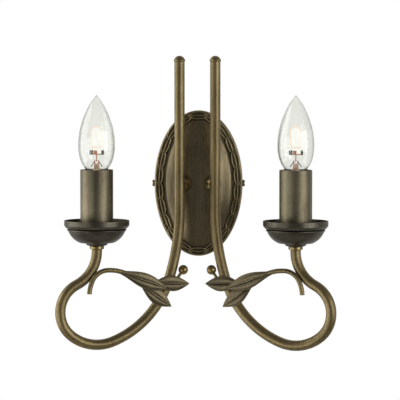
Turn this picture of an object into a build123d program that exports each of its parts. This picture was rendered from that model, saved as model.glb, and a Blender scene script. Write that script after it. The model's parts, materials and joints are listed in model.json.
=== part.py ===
from build123d import *

import os
from math import asin, atan, atan2, cos, degrees, radians, sin, tan

# Candle wall light with two looped arms, in millimetres, +Z up.
# The origin is on the wall at the middle of the oval backplate. The wall is the plane y = 0 and the light
# stands out along -Y. The left half is modelled, and the right half is its mirror image in the plane x = 0.

# Clearances
TOUCH_GAP = 0.05      # between fixed pieces that are assembled against each other
SEAT_GAP = 0.1        # under a piece that stands loose on another
SCREW_GAP = 0.2       # round a screw in a plain hole
THREAD_GAP = 0.3      # between the bulb's thread and the lampholder's shell
EAR_GAP = 0.6         # between the bracket's ears and the backplate's side wall

# Backplate
PLATE_WIDTH = 85.8
PLATE_HEIGHT = 142.2
PLATE_DEPTH = 12.5    # side wall, from the wall to the flat border
PLATE_WALL = 1.0
PLATE_EDGE_RADIUS = 1.5
BORDER_WIDTH = 10.0
DOME_RISE = 7.5
DOME_STEPS = 9
LINK_COUNT = 22
LINK_WIDTH = 7.0
LINK_STRAND = 1.6
LINK_RIDGE = 1.4      # bar along the middle of each link
LINK_RISE = 0.9
LINK_LAP = 0.6

# Wall bracket and what is fixed to it
BRACKET_SHEET = 1.5
BRACKET_WIDTH = 66.0
BRACKET_HEIGHT = 56.0
EAR_WIDTH = 15.0
BRACKET_CORNER = 5.0
WALL_SLOT_SPACING = 50.0
WALL_SLOT_LENGTH = 10.0
WALL_SLOT_WIDTH = 4.6
CABLE_HOLE_DIAMETER = 12.0
CABLE_HOLE_DROP = 17.0
SIDE_SCREW_DIAMETER = 3.5
SIDE_SCREW_HEAD = 6.4
SIDE_SCREW_HEAD_RISE = 2.3
SIDE_SCREW_CHAMFER = 0.5
SIDE_SCREW_SLOT = 0.9
SIDE_SCREW_LENGTH = 7.0
SIDE_SCREW_OUT = 6.5    # from the wall to the screws' axis
EARTH_SCREW_DIAMETER = 4.0
EARTH_SCREW_HEAD = 7.6
EARTH_SCREW_RISE = 2.6
EARTH_SCREW_CHAMFER = 0.6
EARTH_SCREW_SLOT = 0.9
EARTH_SCREW_SIDE = 22.0
EARTH_SCREW_DROP = 18.0
TERMINAL_HEIGHT = 15.0
TERMINAL_RISE = 11.0    # out from the bracket
TERMINAL_MARGIN = 4.5   # past the outer wire channels
TERMINAL_UP = 19.5      # from the arms' level to the block's middle
TERMINAL_CORNER = 1.5
TERMINAL_SCREW = 3.0
TERMINAL_SCREW_SPACING = 7.5
TERMINAL_SCREW_LENGTH = 3.6

# Arm tube: a straight run down, a list of bends and a short rise to the drip pan
TUBE_DIAMETER = 10.0
TUBE_WALL = 1.0
TUBE_TOP = 118.5
TUBE_OUT = 36.0         # from the wall to the straight run's axis
ARM_TURN = 22.0         # degrees that the arm's plane swings forward from the wall
BEND_START = -23.9
BENDS = [(213.7, 18.5), (92.8, 52.0), (42.9, 59.0), (29.0, 115.0), (35.1, -64.5)]   # radius, degrees
ARM_RISE = 5.2
CAP_BEAD_DIAMETER = 11.2
CAP_BEAD_HEIGHT = 2.3
CAP_BEAD_SWELL = 0.5    # how far the bead stands out past its edges
CAP_HEIGHT = 5.8
CAP_PLUG_LENGTH = 6.0

# Boss, stud and nut that hold the arm to the backplate
BOSS_SIDE = 13.9        # from the middle of the plate to the boss, along the wall
BOSS_DIAMETER = 15.4
BOSS_FOOT = 3.0
BOSS_NECK_DIAMETER = 10.6
BOSS_SWELL = 0.75       # how far the boss bulges past a straight taper
STUD_DIAMETER = 6.6
STUD_BORE = 4.6
STUD_TAIL = 9.0         # length inside the backplate
ARM_NUT_FLATS = 11.0
ARM_NUT_HEIGHT = 4.0
ARM_NUT_GAP = 0.5

# Wiring
FLEX_DIAMETER = 2.8
FLEX_BEND = 7.0
FLEX_TAIL_BEND = 6.0
FLEX_OUT = 6.5          # from the wall to the wire inside the backplate

# Leaf spray, as places along the arm's plane: out from the tube's axis, height, and forward
LEAF_SHEET = 1.0
LEAF_FOLD = 8.0         # degrees that each half falls away from the midrib
LEAF_ARCH = 120.0       # radius along the leaf
LEAF_RIB = 0.55
FRONT_LEAF = dict(base=(59.5, -83.8, 10.65), tip=(15.2, -99.6, 10.65), upper=7.6, lower=7.4)
INNER_LEAF = dict(base=(29.0, -94.2, 7.35), tip=(-8.2, -95.7, 7.35), upper=7.2, lower=7.2)
LOWER_LEAF = dict(base=(42.5, -95.6, 7.75), tip=(10.3, -117.6, 7.75), upper=7.6, lower=6.8)
TENDRIL_DIAMETER = 4.6
TENDRIL_ROOT = (50.1, -87.6, 7.75)
TENDRIL_LEAN = 2.5      # degrees that the tendril falls back towards the tube
TENDRIL_START = 34.1    # degrees above level
TENDRIL_BENDS = [(42.6, -36.0), (16.6, -63.0), (33.5, -22.8)]
BERRY_DIAMETER = 9.4
BERRY_PLACE = (-2.6, -82.4, 3.2)
BERRY_STEM_DIAMETER = 3.0
BERRY_STEM_END = (4.0, -91.2, 3.2)

# Drip pan and collar, from the tube's end upward
COLLAR_DIAMETER = 13.8
COLLAR_HEIGHT = 3.2
COLLAR_EDGE_RADIUS = 0.6
PAN_DIAMETER = 62.4
PAN_HEIGHT = 24.2
PAN_WALL = 1.0
PAN_RIM_HEIGHT = 4.6
PAN_RIM_STEP = 1.9      # how far the rim stands out past the flare's foot
PAN_RIM_DROP = 2.6      # height of the flare under the rim
PAN_BEAD_RADIUS = 1.0
PAN_BOWL_DIAMETER = 54.6
PAN_BOWL_DEPTH = 11.2
PAN_BOWL_FULLNESS = 1.6
PAN_FLOOR_DIAMETER = 33.0
PAN_FOOT_DIAMETER = 21.4
PAN_FOOT_HEIGHT = 3.0
PAN_FOOT_BASE = 15.0

# Nipple and nut through the pan
NIPPLE_DIAMETER = 7.9
NIPPLE_BORE = 5.0
NIPPLE_IN_TUBE = 5.0
NIPPLE_IN_HOLDER = 6.0
PAN_NUT_FLATS = 14.0
PAN_NUT_HEIGHT = 4.6
PAN_NUT_FLANGE_HEIGHT = 1.2
PAN_NUT_OVERLAP = 1.6   # flange past the foot's recess

# Candle sleeve and lampholder
SLEEVE_DIAMETER = 31.4
SLEEVE_WALL = 1.2
SLEEVE_LENGTH = 68.7
SLEEVE_EDGE_RADIUS = 0.5
HOLDER_DIAMETER = 24.4
HOLDER_STEM_DIAMETER = 16.0
HOLDER_STEM_HEIGHT = 8.4
HOLDER_HEIGHT = 53.8
HOLDER_FLOOR = 3.5      # between the wire chamber and the socket
HOLDER_CHAMBER_DIAMETER = 16.0
HOLDER_CHAMBER_HEIGHT = 13.0
HOLDER_NECK = 3.0       # solid below the wire chamber, past the nipple
SHELL_WALL = 0.8
SHELL_LENGTH = 19.0
SHELL_INSET = 1.0       # below the lampholder's top
CONTACT_DIAMETER = 8.0
CONTACT_SHEET = 0.8
CONTACT_PIN_DIAMETER = 2.4
CONTACT_RISE = 7.0      # above the socket's floor

# Bulb, from the foot of its contact upward
BULB_DIAMETER = 35.0
BULB_LENGTH = 100.0
BULB_BELLY = 52.3
BULB_NECK = (5.2, 32.0)         # inset from the belly's radius, height
BULB_SHOULDER = (2.9, 72.4)
BULB_FLAME = (8.85, 87.5)
BULB_GLASS_WALL = 0.9
THREAD_DIAMETER = 13.9
THREAD_ROOT_DEPTH = 0.8
THREAD_PITCH = 2.822
THREAD_FLANK = 1.0      # height of a ridge's sloping side
THREAD_RIDGES = 5
BULB_CAP_FOOT = 4.2
BULB_CAP_TOP = 25.0
BULB_CAP_FLARE = 17.0
BULB_CAP_WALL = 0.5
INSULATOR_DIAMETER = 10.4
TIP_DIAMETER = 4.8
TIP_HEIGHT = 1.8
CAPSULE_DIAMETER = 9.4
CAPSULE_WALL = 0.8
CAPSULE_FOOT = 50.5
CAPSULE_HEIGHT = 20.0
PINCH_WIDTH = 8.0
PINCH_SHEET = 2.6
PINCH_HEIGHT = 6.0
CLIP_WIDTH = 14.0
CLIP_HEIGHT = 4.6
CLIP_SHEET = 1.0
STEM_DIAMETER = 12.0
STEM_TOP = 32.5
LEAD_DIAMETER = 1.0
LEAD_SPREAD = 10.0
LEAD_RISE = 6.5         # from the stem's top to where the leads meet
FILAMENT_DIAMETER = 2.0
FILAMENT_LENGTH = 10.0
FILAMENT_LEAD_DIAMETER = 0.9

# Worked out from the sizes above
plate_a = PLATE_WIDTH / 2
plate_b = PLATE_HEIGHT / 2
field_a = plate_a - BORDER_WIDTH
field_b = plate_b - BORDER_WIDTH
boss_tilt = atan(2 * DOME_RISE * BOSS_SIDE / field_a**2)
boss_out = PLATE_DEPTH + DOME_RISE * (1 - (BOSS_SIDE / field_a) ** 2)
boss_length = (TUBE_OUT - boss_out) / cos(boss_tilt)
tube_side = BOSS_SIDE + boss_length * sin(boss_tilt)
tube_radius = TUBE_DIAMETER / 2
tube_bore = tube_radius - TUBE_WALL
flex_side = BOSS_SIDE - (boss_out - FLEX_OUT) * tan(boss_tilt)
pan_floor = PAN_FOOT_HEIGHT + PAN_WALL
holder_foot = pan_floor + PAN_NUT_HEIGHT + TOUCH_GAP
holder_top = holder_foot + HOLDER_HEIGHT
shell_bore = THREAD_DIAMETER / 2 + THREAD_GAP
shell_radius = shell_bore + SHELL_WALL
chamber_foot = holder_foot + HOLDER_STEM_HEIGHT + HOLDER_NECK
chamber_top = chamber_foot + HOLDER_CHAMBER_HEIGHT
socket_floor = chamber_top + HOLDER_FLOOR
bulb_foot = socket_floor + CONTACT_RISE + SEAT_GAP
ear_side = plate_a - PLATE_WALL - EAR_GAP
neck_radius = BULB_CAP_FLARE / 2 - BULB_CAP_WALL - TOUCH_GAP
bulb_radius = BULB_DIAMETER / 2


def boss_frame(side):
    """Where an arm leaves the plate: z points out of the plate and x is up."""
    normal = Vector(side * sin(boss_tilt), -cos(boss_tilt), 0)
    return Plane(origin=(side * BOSS_SIDE, -boss_out, 0), x_dir=(0, 0, 1), z_dir=normal)


LEFT, RIGHT = -1, 1
boss_plane = boss_frame(LEFT)
boss_axis = Axis(boss_plane.origin, boss_plane.z_dir)
boss_section = Plane(boss_plane.origin, x_dir=(0, 0, 1), z_dir=Vector(0, 0, 1).cross(boss_plane.z_dir))

# The left arm's plane: x runs outward along the arm, y is up and z points back to the wall
arm_plane = Plane(
    origin=(-tube_side, -TUBE_OUT, 0),
    x_dir=(-cos(radians(ARM_TURN)), -sin(radians(ARM_TURN)), 0),
    z_dir=(-sin(radians(ARM_TURN)), cos(radians(ARM_TURN)), 0),
)
arm_front = -arm_plane.z_dir


def on_arm(place):
    """A point given outward along the arm, up, and forward of its plane."""
    return arm_plane.from_local_coords(Vector(place[0], place[1], -place[2]))


def arm_run(start, rise):
    """The tube's centreline from a height on its straight run, round the bends and up by the last rise."""
    with BuildLine(arm_plane) as line:
        run = Line((0, start), (0, BEND_START))
        for radius, turn in BENDS:
            run = JernArc(run @ 1, run % 1, radius, turn)
        Line(run @ 1, (run @ 1) + Vector(0, 0, rise))
    return line.wires()[0]


arm_wire = arm_run(TUBE_TOP, ARM_RISE)
seat = arm_wire @ 1
candle_plane = Plane(origin=seat, x_dir=(1, 0, 0), z_dir=(0, -1, 0))
candle_axis = Axis(seat, (0, 0, 1))
bulb_plane = Plane(origin=seat + Vector(0, 0, bulb_foot), x_dir=(1, 0, 0), z_dir=(0, -1, 0))


def turned(outline, section=candle_plane, axis=candle_axis):
    """A solid turned from a closed outline of (radius, height) points."""
    with BuildPart() as piece:
        with BuildSketch(section):
            with BuildLine():
                Polyline(*outline, close=True)
            make_face()
        revolve(axis=axis)
    return piece.part


def ring(outer, inner, low, high, section=candle_plane, axis=candle_axis):
    """A plain round tube between two heights."""
    return turned([(inner, low), (outer, low), (outer, high), (inner, high)], section, axis)


def save(name, part):
    part.label = name
    export_step(part, f"parts/{name}.step")


def save_pair(name, part):
    """The left piece and its mirror image, as two nodes."""
    save(f"left_{name}", part)
    save(f"right_{name}", mirror(part, about=Plane.YZ))


def save_both(name, part):
    """The left piece and its mirror image, as separate solids of one node."""
    with BuildPart() as both:
        add(part)
        mirror(part, about=Plane.YZ)
    save(name, both.part)


def dome_sections(a, b, start):
    """Ellipses that shrink towards the crown of the dome, for a loft."""
    with BuildSketch(Plane.XZ.offset(start - PLATE_WALL / 2)) as edge:
        Ellipse(a, b)
    sections = [edge.sketch]
    for step in range(DOME_STEPS):
        share = 1 - step / DOME_STEPS
        with BuildSketch(Plane.XZ.offset(start + DOME_RISE * (1 - share**2))) as section:
            Ellipse(a * share, b * share)
        sections.append(section.sketch)
    return sections


def make_backplate():
    middle = (BORDER_WIDTH + PLATE_EDGE_RADIUS) / 2
    with BuildLine(Plane.XZ) as chain:
        EllipticalCenterArc((0, 0), plate_a - middle, plate_b - middle, 0, arc_size=360)
    chain_line = chain.edges()[0]
    pitch = chain_line.length / LINK_COUNT
    slot_length = pitch - 2 * LINK_STRAND
    slot_width = LINK_WIDTH - 2 * LINK_STRAND
    with BuildPart() as plate:
        with BuildSketch(Plane.XZ):
            Ellipse(plate_a, plate_b)
        extrude(amount=PLATE_DEPTH)
        fillet(plate.faces().sort_by(Axis.Y)[0].edges(), PLATE_EDGE_RADIUS)
        loft(dome_sections(field_a, field_b, PLATE_DEPTH), ruled=True)
        # raised chain round the border: each link is a long ring with a bar in it, and laps its neighbours
        with BuildSketch(Plane.XZ.offset(PLATE_DEPTH - PLATE_WALL / 2)):
            for link in range(LINK_COUNT):
                along = (link + 0.5) * pitch
                middle_point = chain_line.position_at(along, position_mode=PositionMode.LENGTH)
                heading = chain_line.tangent_at(along, position_mode=PositionMode.LENGTH)
                turn = degrees(atan2(heading.Z, heading.X))
                with Locations(Location((middle_point.X, middle_point.Z, 0), (0, 0, turn))):
                    SlotOverall(pitch + LINK_LAP, LINK_WIDTH)
                    SlotOverall(slot_length, slot_width, mode=Mode.SUBTRACT)
                    SlotOverall(slot_length - slot_width + LINK_RIDGE, LINK_RIDGE)
        extrude(amount=LINK_RISE + PLATE_WALL / 2)
        # the hollow behind
        with BuildSketch(Plane.XZ):
            Ellipse(plate_a - PLATE_WALL, plate_b - PLATE_WALL)
        extrude(amount=PLATE_DEPTH - PLATE_WALL, mode=Mode.SUBTRACT)
        hollow = dome_sections(field_a - PLATE_WALL, field_b - PLATE_WALL, PLATE_DEPTH - PLATE_WALL)
        loft(hollow, ruled=True, mode=Mode.SUBTRACT)
        # holes for the two studs and the two side screws
        for side in (LEFT, RIGHT):
            with BuildSketch(boss_frame(side)):
                Circle(STUD_DIAMETER / 2 + SCREW_GAP)
            extrude(amount=STUD_TAIL, both=True, mode=Mode.SUBTRACT)
        with BuildSketch(Plane.YZ):
            with Locations((-SIDE_SCREW_OUT, 0)):
                Circle(SIDE_SCREW_DIAMETER / 2 + SCREW_GAP)
        extrude(amount=PLATE_WIDTH, both=True, mode=Mode.SUBTRACT)
    return plate.part


def make_wall_bracket():
    with BuildPart() as bracket:
        with BuildSketch(Plane.XZ):
            RectangleRounded(BRACKET_WIDTH, BRACKET_HEIGHT, BRACKET_CORNER)
            Rectangle(2 * ear_side, EAR_WIDTH)
            with GridLocations(WALL_SLOT_SPACING, 0, 2, 1):
                SlotOverall(WALL_SLOT_LENGTH, WALL_SLOT_WIDTH, mode=Mode.SUBTRACT)
            with Locations((0, -CABLE_HOLE_DROP)):
                Circle(CABLE_HOLE_DIAMETER / 2, mode=Mode.SUBTRACT)
            with Locations((EARTH_SCREW_SIDE, -EARTH_SCREW_DROP)):
                Circle(EARTH_SCREW_DIAMETER / 2 + TOUCH_GAP, mode=Mode.SUBTRACT)
        extrude(amount=BRACKET_SHEET)
        with BuildSketch(Plane.XZ):
            with GridLocations(2 * ear_side - BRACKET_SHEET, 0, 2, 1):
                Rectangle(BRACKET_SHEET, EAR_WIDTH)
        extrude(amount=SIDE_SCREW_OUT + SIDE_SCREW_DIAMETER)
        with BuildSketch(Plane.YZ):
            with Locations((-SIDE_SCREW_OUT, 0)):
                Circle(SIDE_SCREW_DIAMETER / 2 + TOUCH_GAP)
        extrude(amount=PLATE_WIDTH, both=True, mode=Mode.SUBTRACT)
    return bracket.part


def make_side_screw():
    face = Plane(origin=(-plate_a - TOUCH_GAP, -SIDE_SCREW_OUT, 0), x_dir=(0, 0, 1), z_dir=(-1, 0, 0))
    with BuildPart() as screw:
        with BuildSketch(face):
            Circle(SIDE_SCREW_HEAD / 2)
        extrude(amount=SIDE_SCREW_HEAD_RISE)
        chamfer(screw.faces().sort_by(Axis.X)[0].edges(), SIDE_SCREW_CHAMFER)
        with BuildSketch(face.offset(SIDE_SCREW_HEAD_RISE)):
            Rectangle(SIDE_SCREW_SLOT, SIDE_SCREW_HEAD)
        extrude(amount=-SIDE_SCREW_SLOT, mode=Mode.SUBTRACT)
        with BuildSketch(face):
            Circle(SIDE_SCREW_DIAMETER / 2)
        extrude(amount=-SIDE_SCREW_LENGTH)
    return screw.part


def terminal_sides():
    return (-flex_side, 0, flex_side)


def make_terminal_block():
    front = BRACKET_SHEET + TERMINAL_RISE
    with BuildPart() as block:
        with BuildSketch(Plane.XZ.offset(BRACKET_SHEET)):
            with Locations((0, TERMINAL_UP)):
                RectangleRounded(2 * (flex_side + TERMINAL_MARGIN), TERMINAL_HEIGHT, TERMINAL_CORNER)
        extrude(amount=TERMINAL_RISE)
        with BuildSketch(Plane.XY.offset(TERMINAL_UP)):
            with Locations(*[(x, -FLEX_OUT) for x in terminal_sides()]):
                Circle(FLEX_DIAMETER / 2 + SCREW_GAP)
        extrude(amount=TERMINAL_HEIGHT, both=True, mode=Mode.SUBTRACT)
        with BuildSketch(Plane.XZ.offset(front)):
            for x in terminal_sides():
                with Locations((x, TERMINAL_UP)):
                    with GridLocations(0, TERMINAL_SCREW_SPACING, 1, 2):
                        Circle(TERMINAL_SCREW / 2 + TOUCH_GAP)
        extrude(amount=FLEX_OUT - front, mode=Mode.SUBTRACT)
    return block.part


def make_terminal_screws():
    with BuildPart() as screws:
        with BuildSketch(Plane.XZ.offset(FLEX_OUT + FLEX_DIAMETER / 2 + SCREW_GAP)):
            for x in terminal_sides():
                with Locations((x, TERMINAL_UP)):
                    with GridLocations(0, TERMINAL_SCREW_SPACING, 1, 2):
                        Circle(TERMINAL_SCREW / 2)
        extrude(amount=TERMINAL_SCREW_LENGTH)
    return screws.part


def make_earth_screw():
    with BuildPart() as screw:
        with BuildSketch(Plane.XZ):
            with Locations((EARTH_SCREW_SIDE, -EARTH_SCREW_DROP)):
                Circle(EARTH_SCREW_DIAMETER / 2)
        extrude(amount=BRACKET_SHEET + EARTH_SCREW_RISE)
        with BuildSketch(Plane.XZ.offset(BRACKET_SHEET)):
            with Locations((EARTH_SCREW_SIDE, -EARTH_SCREW_DROP)):
                Circle(EARTH_SCREW_HEAD / 2)
        extrude(amount=EARTH_SCREW_RISE)
        chamfer(screw.faces().sort_by(Axis.Y)[0].edges(), EARTH_SCREW_CHAMFER)
        with BuildSketch(Plane.XZ.offset(BRACKET_SHEET + EARTH_SCREW_RISE)):
            with Locations((EARTH_SCREW_SIDE, -EARTH_SCREW_DROP)):
                Rectangle(EARTH_SCREW_HEAD, EARTH_SCREW_SLOT)
        extrude(amount=-EARTH_SCREW_SLOT, mode=Mode.SUBTRACT)
    return screw.part


def make_arm_tube():
    with BuildPart() as tube:
        with BuildSketch(Plane(origin=arm_wire @ 0, x_dir=(1, 0, 0), z_dir=arm_wire % 0)):
            Circle(tube_radius)
            Circle(tube_bore, mode=Mode.SUBTRACT)
        sweep(path=arm_wire)
        with BuildSketch(boss_plane):
            Circle(STUD_DIAMETER / 2 + TOUCH_GAP)
        extrude(amount=boss_length, mode=Mode.SUBTRACT)
    return tube.part


def make_arm_cap():
    plug = tube_bore - TOUCH_GAP
    bead = CAP_BEAD_DIAMETER / 2
    waist = bead - CAP_BEAD_SWELL
    crown = CAP_HEIGHT - CAP_BEAD_HEIGHT
    dome_radius = (waist**2 + crown**2) / (2 * crown)
    with BuildPart() as cap:
        with BuildSketch(Plane(origin=arm_wire @ 0, x_dir=(1, 0, 0), z_dir=(0, -1, 0))):
            with BuildLine():
                Polyline((0, CAP_HEIGHT), (0, -CAP_PLUG_LENGTH), (plug, -CAP_PLUG_LENGTH), (plug, TOUCH_GAP),
                         (waist, TOUCH_GAP))
                ThreePointArc((waist, TOUCH_GAP), (bead, CAP_BEAD_HEIGHT / 2), (waist, CAP_BEAD_HEIGHT))
                RadiusArc((waist, CAP_BEAD_HEIGHT), (0, CAP_HEIGHT), -dome_radius)
            make_face()
        revolve(axis=Axis(arm_wire @ 0, (0, 0, 1)))
    return cap.part


def make_arm_boss():
    foot = BOSS_DIAMETER / 2
    neck = BOSS_NECK_DIAMETER / 2
    bore = STUD_DIAMETER / 2 + SCREW_GAP
    neck_height = boss_length - tube_radius
    swell = ((foot + neck) / 2 + BOSS_SWELL, (BOSS_FOOT + neck_height) / 2)
    with BuildPart() as boss:
        with BuildSketch(boss_section):
            with BuildLine():
                Polyline((bore, boss_length), (bore, TOUCH_GAP), (foot, TOUCH_GAP), (foot, BOSS_FOOT))
                ThreePointArc((foot, BOSS_FOOT), swell, (neck, neck_height))
                Polyline((neck, neck_height), (neck, boss_length), (bore, boss_length))
            make_face()
        revolve(axis=boss_axis)
        with Locations((-tube_side, -TUBE_OUT, 0)):
            Cylinder(tube_radius + TOUCH_GAP, 4 * BOSS_DIAMETER, mode=Mode.SUBTRACT)
        with BuildSketch(Plane(origin=(-tube_side, -TUBE_OUT, 0), z_dir=boss_plane.z_dir)):
            Rectangle(4 * BOSS_DIAMETER, 4 * BOSS_DIAMETER)
        extrude(amount=BOSS_DIAMETER, mode=Mode.SUBTRACT)
    return boss.part


def make_arm_stud():
    front = boss_length - tube_bore - SCREW_GAP
    return ring(STUD_DIAMETER / 2, STUD_BORE / 2, -STUD_TAIL, front, boss_section, boss_axis)


def make_arm_nut():
    with BuildPart() as nut:
        with BuildSketch(boss_plane.offset(-PLATE_WALL - ARM_NUT_GAP)):
            RegularPolygon(ARM_NUT_FLATS / 2, 6, major_radius=False)
            Circle(STUD_DIAMETER / 2 + TOUCH_GAP, mode=Mode.SUBTRACT)
        extrude(amount=-ARM_NUT_HEIGHT)
    return nut.part


def make_arm_flex():
    """Lamp wire from the lampholder down through the arm, and through the stud to the terminals."""
    inside = boss_plane.z_dir
    tail = -(boss_out - FLEX_OUT) / cos(boss_tilt)
    with BuildLine(Plane(boss_plane.origin, x_dir=inside, z_dir=inside.cross(Vector(0, 0, 1)))) as inner:
        first = JernArc((boss_length, -FLEX_BEND), (0, 1), FLEX_BEND, 90)
        second = Line(first @ 1, (tail + FLEX_TAIL_BEND, 0))
        third = JernArc(second @ 1, second % 1, FLEX_TAIL_BEND, -90)
        Line(third @ 1, (tail, TERMINAL_UP))
    outer = arm_run(-FLEX_BEND, ARM_RISE + chamber_foot + FLEX_DIAMETER)
    route = Wire(outer.edges() + inner.edges())
    with BuildPart() as flex:
        with BuildSketch(Plane(origin=route @ 0, z_dir=route % 0)):
            Circle(FLEX_DIAMETER / 2)
        sweep(path=route)
    return flex.part


def leaf_blade(base, tip, upper, lower):
    """A folded leaf: a V section bent along the leaf, trimmed to two arcs that meet at both ends."""
    root = on_arm(base)
    along = on_arm(tip) - root
    half = along.length / 2
    leaf = Plane(origin=root, x_dir=along.normalized(), z_dir=arm_front)
    reach = max(upper, lower) + LEAF_SHEET
    fall = reach * tan(radians(LEAF_FOLD))
    swing = asin((half + LEAF_SHEET) / LEAF_ARCH)
    hub = leaf.from_local_coords(Vector(half, 0, -LEAF_ARCH))
    across = leaf.y_dir
    start = leaf.x_dir * cos(swing) + leaf.z_dir * sin(swing)
    with BuildPart() as blade:
        with BuildSketch(Plane(origin=hub, x_dir=across, z_dir=start)):
            with BuildLine():
                Polyline((-reach, LEAF_ARCH - fall), (-LEAF_SHEET, LEAF_ARCH), (0, LEAF_ARCH + LEAF_RIB),
                         (LEAF_SHEET, LEAF_ARCH), (reach, LEAF_ARCH - fall),
                         (reach, LEAF_ARCH - fall - LEAF_SHEET), (0, LEAF_ARCH - LEAF_SHEET),
                         (-reach, LEAF_ARCH - fall - LEAF_SHEET), close=True)
            make_face()
        revolve(axis=Axis(hub, across), revolution_arc=2 * degrees(swing))
        with BuildSketch(leaf):
            with BuildLine():
                ThreePointArc((0, 0), (half, upper), (2 * half, 0))
                ThreePointArc((2 * half, 0), (half, -lower), (0, 0))
            make_face()
        extrude(amount=half, both=True, mode=Mode.INTERSECT)
    return blade.part


def make_front_leaf():
    lean = radians(TENDRIL_LEAN)
    outward = arm_plane.x_dir * cos(lean) - arm_front * sin(lean)
    tendril_plane = Plane(origin=on_arm(TENDRIL_ROOT), x_dir=outward, z_dir=outward.cross(Vector(0, 0, 1)))
    first = radians(TENDRIL_START)
    with BuildLine(tendril_plane) as line:
        heading = tendril_plane.x_dir * cos(first) + Vector(0, 0, sin(first))
        place = tendril_plane.origin
        for radius, turn in TENDRIL_BENDS:
            bend = JernArc(place, heading, radius, turn)
            place, heading = bend @ 1, bend % 1
    tendril = line.wires()[0]
    with BuildPart() as piece:
        add(leaf_blade(**FRONT_LEAF))
        with BuildSketch(Plane(origin=tendril @ 0, z_dir=tendril % 0)):
            Circle(TENDRIL_DIAMETER / 2)
        sweep(path=tendril)
    return piece.part


def make_berry():
    middle = on_arm(BERRY_PLACE)
    stem = on_arm(BERRY_STEM_END) - middle
    with BuildPart() as berry:
        with Locations(middle):
            Sphere(BERRY_DIAMETER / 2)
        with BuildSketch(Plane(origin=middle, z_dir=stem)):
            Circle(BERRY_STEM_DIAMETER / 2)
        extrude(amount=stem.length)
    return berry.part


def pan_outline(inset):
    """Half of the pan's section: the outer skin for no inset, the inner skin for the wall's thickness."""
    foot_base = PAN_FOOT_BASE / 2 - inset
    foot = PAN_FOOT_DIAMETER / 2 - inset
    floor = PAN_FLOOR_DIAMETER / 2 - inset / 2
    bowl = PAN_BOWL_DIAMETER / 2 - inset
    rim = PAN_DIAMETER / 2 - inset
    low = TOUCH_GAP + inset
    floor_height = PAN_FOOT_HEIGHT + inset
    bowl_height = PAN_FOOT_HEIGHT + PAN_BOWL_DEPTH
    bead_top = bowl_height + 2 * PAN_BEAD_RADIUS + inset / 2
    rim_height = PAN_HEIGHT - PAN_RIM_HEIGHT + inset / 2
    flare_height = rim_height - PAN_RIM_DROP
    middle = Vector((floor + bowl) / 2, (floor_height + bowl_height) / 2)
    outward = Vector(bowl_height - floor_height, floor - bowl).normalized()
    full = middle + outward * PAN_BOWL_FULLNESS
    Polyline((0, PAN_HEIGHT + inset), (0, low), (foot_base, low))
    RadiusArc((foot_base, low), (foot, floor_height), -PAN_FOOT_HEIGHT)
    Line((foot, floor_height), (floor, floor_height))
    ThreePointArc((floor, floor_height), (full.X, full.Y), (bowl, bowl_height))
    bead = (bowl + PAN_BEAD_RADIUS, bowl_height + PAN_BEAD_RADIUS)
    ThreePointArc((bowl, bowl_height), bead, (bowl, bead_top))
    Polyline((bowl, bead_top), (rim - PAN_RIM_STEP, flare_height), (rim, rim_height),
             (rim, PAN_HEIGHT + inset), (0, PAN_HEIGHT + inset))


def make_drip_pan():
    with BuildPart() as pan:
        with BuildSketch(candle_plane):
            with BuildLine():
                pan_outline(0)
            make_face()
        revolve(axis=candle_axis)
        with BuildSketch(candle_plane):
            with BuildLine():
                pan_outline(PAN_WALL)
            make_face()
        revolve(axis=candle_axis, mode=Mode.SUBTRACT)
        with BuildSketch(Plane(origin=seat)):
            Circle(NIPPLE_DIAMETER / 2 + SCREW_GAP)
        extrude(amount=PAN_FOOT_HEIGHT, mode=Mode.SUBTRACT)
    return pan.part


def make_pan_collar():
    with BuildPart() as collar:
        add(ring(COLLAR_DIAMETER / 2, tube_radius + TOUCH_GAP, -COLLAR_HEIGHT, 0))
        outer = collar.faces().filter_by(GeomType.CYLINDER).sort_by(SortBy.RADIUS)[-1]
        fillet(outer.edges().filter_by(GeomType.CIRCLE), COLLAR_EDGE_RADIUS)
    return collar.part


def make_nipple():
    return ring(NIPPLE_DIAMETER / 2, NIPPLE_BORE / 2, -NIPPLE_IN_TUBE, holder_foot + NIPPLE_IN_HOLDER)


def make_pan_nut():
    flange = PAN_FOOT_DIAMETER / 2 - PAN_WALL + PAN_NUT_OVERLAP
    with BuildPart() as nut:
        with BuildSketch(Plane(origin=seat).offset(pan_floor)):
            Circle(flange)
        extrude(amount=PAN_NUT_FLANGE_HEIGHT)
        with BuildSketch(Plane(origin=seat).offset(pan_floor)):
            RegularPolygon(PAN_NUT_FLATS / 2, 6, major_radius=False)
        extrude(amount=PAN_NUT_HEIGHT)
        with BuildSketch(Plane(origin=seat)):
            Circle(NIPPLE_DIAMETER / 2 + TOUCH_GAP)
        extrude(amount=holder_foot, mode=Mode.SUBTRACT)
    return nut.part


def make_candle_sleeve():
    radius = SLEEVE_DIAMETER / 2
    foot = pan_floor + SEAT_GAP
    with BuildPart() as sleeve:
        add(ring(radius, radius - SLEEVE_WALL, foot, foot + SLEEVE_LENGTH))
        fillet(sleeve.faces().sort_by(Axis.Z)[-1].edges(), SLEEVE_EDGE_RADIUS)
    return sleeve.part


def make_lampholder_body():
    stem = HOLDER_STEM_DIAMETER / 2
    body = HOLDER_DIAMETER / 2
    thread = NIPPLE_DIAMETER / 2 + TOUCH_GAP
    chamber = HOLDER_CHAMBER_DIAMETER / 2
    socket = shell_radius + TOUCH_GAP
    pin = CONTACT_PIN_DIAMETER / 2 + TOUCH_GAP
    stem_top = holder_foot + HOLDER_STEM_HEIGHT
    return turned([
        (thread, holder_foot), (stem, holder_foot), (stem, stem_top), (body, stem_top + body - stem),
        (body, holder_top), (socket, holder_top), (socket, socket_floor), (pin, socket_floor),
        (pin, chamber_top), (chamber, chamber_top), (chamber, chamber_foot), (thread, chamber_foot),
    ])


def make_lampholder_shell():
    top = holder_top - SHELL_INSET
    return ring(shell_radius, shell_bore, top - SHELL_LENGTH, top)


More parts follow.
